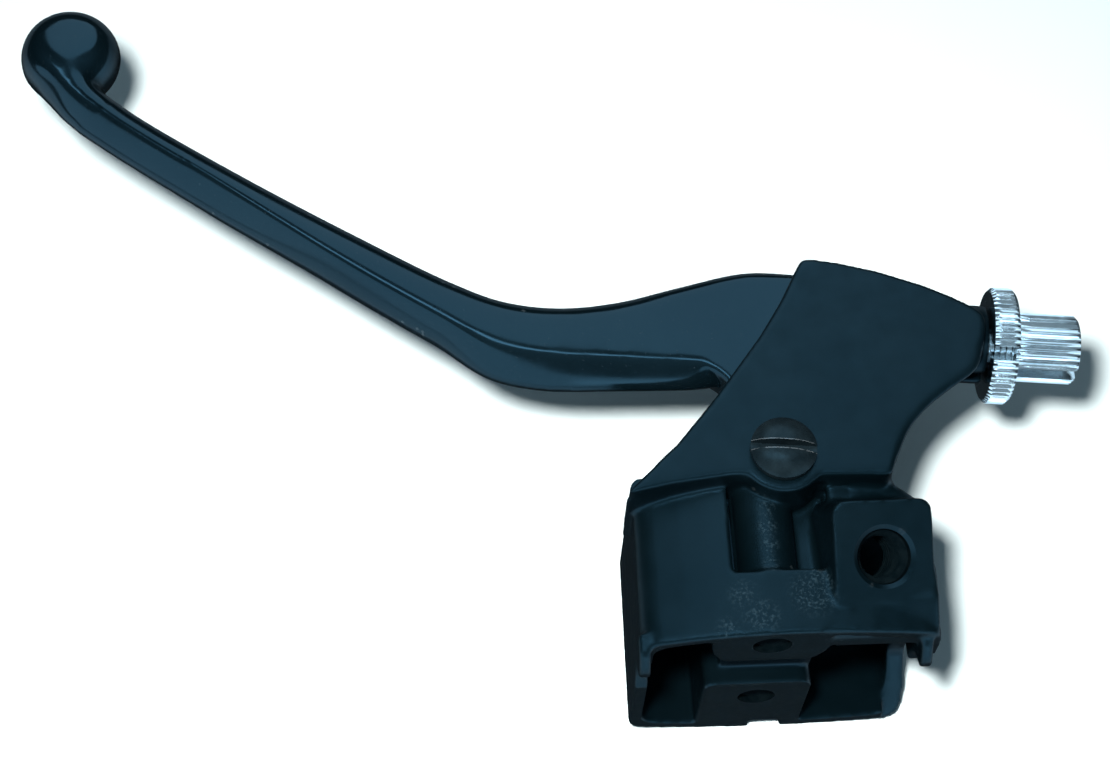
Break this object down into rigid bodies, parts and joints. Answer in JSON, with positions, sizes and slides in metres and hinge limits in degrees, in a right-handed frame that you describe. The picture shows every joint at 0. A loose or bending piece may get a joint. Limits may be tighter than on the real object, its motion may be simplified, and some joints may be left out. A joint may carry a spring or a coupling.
{
  "type": "clutch lever",
  "caption": "Black ball-end clutch lever hinged in a cast handlebar bracket that is also half of a switch housing, with a knurled cable adjuster.",
  "frame": {"origin": "middle of the clamping plane, halfway between the two clamp screws, on the handlebar's line", "axes": "+X along the handlebar away from the grip, +Y ahead away from the rider, +Z along the lever's pivot towards its screw head"},
  "size_m": [0.2261, 0.1606, 0.0633],
  "materials": {
    "bracket_paint": "satin",
    "lever_paint": "gloss",
    "bush_bronze": "satin",
    "screw_steel": "satin",
    "zinc_steel": "satin",
    "adjuster_zinc": "gloss"
  },
  "bodies": {
    "bracket": {"lever_bracket": "bracket_paint", "pivot_screw": "screw_steel", "spring_washer": "zinc_steel", "pivot_nut": "zinc_steel"},
    "lever": {"clutch_lever": "lever_paint", "pivot_bush": "bush_bronze"},
    "lock_wheel": {"lock_wheel": "adjuster_zinc"},
    "adjuster": {"adjuster_barrel": "adjuster_zinc"}
  },
  "joints": [
    {"name": "lever_swing", "type": "hinge", "parent": "bracket", "child": "lever", "pos_m": [0.0046, 0.0375, 0.0145], "axis": [0, 0, 1], "range_deg": [0, 40]},
    {"name": "lock_wheel_turn", "type": "hinge", "parent": "bracket", "child": "lock_wheel", "pos_m": [0.0512, 0.0657, 0.0145], "axis": [0.9951, -0.0993, 0], "range_deg": [0, 1440]},
    {"name": "adjuster_screw", "type": "slide", "parent": "lock_wheel", "child": "adjuster", "axis": [0.9951, -0.0993, 0], "range_m": [0, 0.00501]}
  ],
  "couplings": [
    {"joint": "adjuster_screw", "follows": "lock_wheel_turn", "m_per_rad": 0.00019894}
  ]
}
